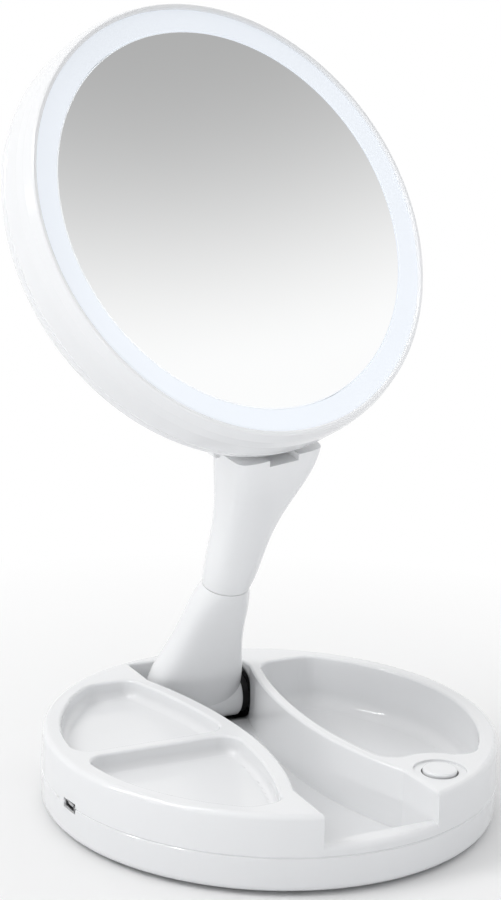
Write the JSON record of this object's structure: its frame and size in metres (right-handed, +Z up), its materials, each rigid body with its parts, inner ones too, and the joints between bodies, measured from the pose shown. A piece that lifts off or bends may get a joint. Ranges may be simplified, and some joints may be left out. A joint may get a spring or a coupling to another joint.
{
  "type": "folding lighted travel mirror",
  "caption": "Round tilting vanity mirror with a lit ring on a folding, swivelling arm that lays flat in the channel of a round base with trays, a bowl and a push button.",
  "frame": {"origin": "middle of the base, on the surface that the foot ring stands on", "axes": "+Z up, -Y to the front where the channel opens, +X to the side of the deep bowl"},
  "size_m": [0.1802, 0.1798, 0.2925],
  "materials": {
    "white_gloss": "gloss",
    "white_inner": "matte",
    "lit_diffuser": "frosted",
    "mirror": "polished",
    "steel": "brushed",
    "spring_steel": "plated",
    "rubber": "matte",
    "board": "satin",
    "dark_plastic": "matte",
    "lamp": "gloss",
    "cell": "satin",
    "acetal": "satin"
  },
  "bodies": {
    "base": {"base_top_shell": "white_gloss", "base_bottom_cover": "white_gloss", "base_screws": "steel", "base_foot_ring": "rubber", "battery_cells": "cell", "battery_contacts": "spring_steel", "battery_springs": "spring_steel", "control_board": "board", "charging_socket": "steel", "charge_light": "lamp", "switch_board": "board", "push_switch": "dark_plastic", "arm_hinge_block_right": "dark_plastic", "arm_hinge_block_left": "dark_plastic", "arm_hinge_pin": "steel", "arm_hinge_washers": "dark_plastic"},
    "lower_arm": {"lower_arm": "white_gloss", "swivel_ring": "acetal"},
    "spindle": {"swivel_spindle": "steel"},
    "upper_arm": {"upper_arm": "white_gloss", "tilt_hinge_caps": "white_gloss"},
    "tilt_pin": {"tilt_pin": "steel"},
    "head": {"front_bezel": "white_gloss", "light_diffuser": "lit_diffuser", "mirror_glass": "mirror", "mirror_plate": "white_inner", "lamp_board": "board", "lamps": "lamp", "back_shell": "white_gloss", "magnifying_glass": "mirror", "head_bracket": "white_gloss", "bracket_screws": "steel"},
    "button": {"power_button": "white_gloss", "switch_plunger": "dark_plastic"},
    "door": {"battery_door": "white_gloss"}
  },
  "joints": [
    {"name": "arm_fold", "type": "hinge", "parent": "base", "child": "lower_arm", "pos_m": [0, 0.0675, 0.0165], "axis": [1, 0, 0], "range_deg": [0, 64]},
    {"name": "neck_align", "type": "hinge", "parent": "lower_arm", "child": "spindle", "pos_m": [0, 0.0403, 0.0735], "axis": [0, -0.2419, 0.9703], "range_deg": [-12.3, 0]},
    {"name": "neck_swivel", "type": "hinge", "parent": "spindle", "child": "upper_arm", "pos_m": [0, 0.0403, 0.0735], "axis": [0, -0.2419, 0.9703], "range_deg": [-190, 0]},
    {"name": "head_fold", "type": "hinge", "parent": "upper_arm", "child": "tilt_pin", "pos_m": [0.00065, 0.02116, 0.13791], "axis": [0.977, 0.2067, 0.0515], "range_deg": [-124, 0]},
    {"name": "head_tilt", "type": "hinge", "parent": "tilt_pin", "child": "head", "pos_m": [0.00065, 0.02116, 0.13791], "axis": [0.977, 0.2067, 0.0515], "range_deg": [-35, 2]},
    {"name": "power_button", "type": "slide", "parent": "base", "child": "button", "axis": [0, 0, -1], "range_m": [0, 0.0012], "stiffness_N_per_m": 1200},
    {"name": "battery_door", "type": "slide", "parent": "base", "child": "door", "axis": [0, 0, -1], "range_m": [0, 0.012]}
  ],
  "couplings": [
    {"joint": "neck_align", "follows": "arm_fold", "ratio": -0.19219},
    {"joint": "head_fold", "follows": "arm_fold", "ratio": -1.9375}
  ]
}
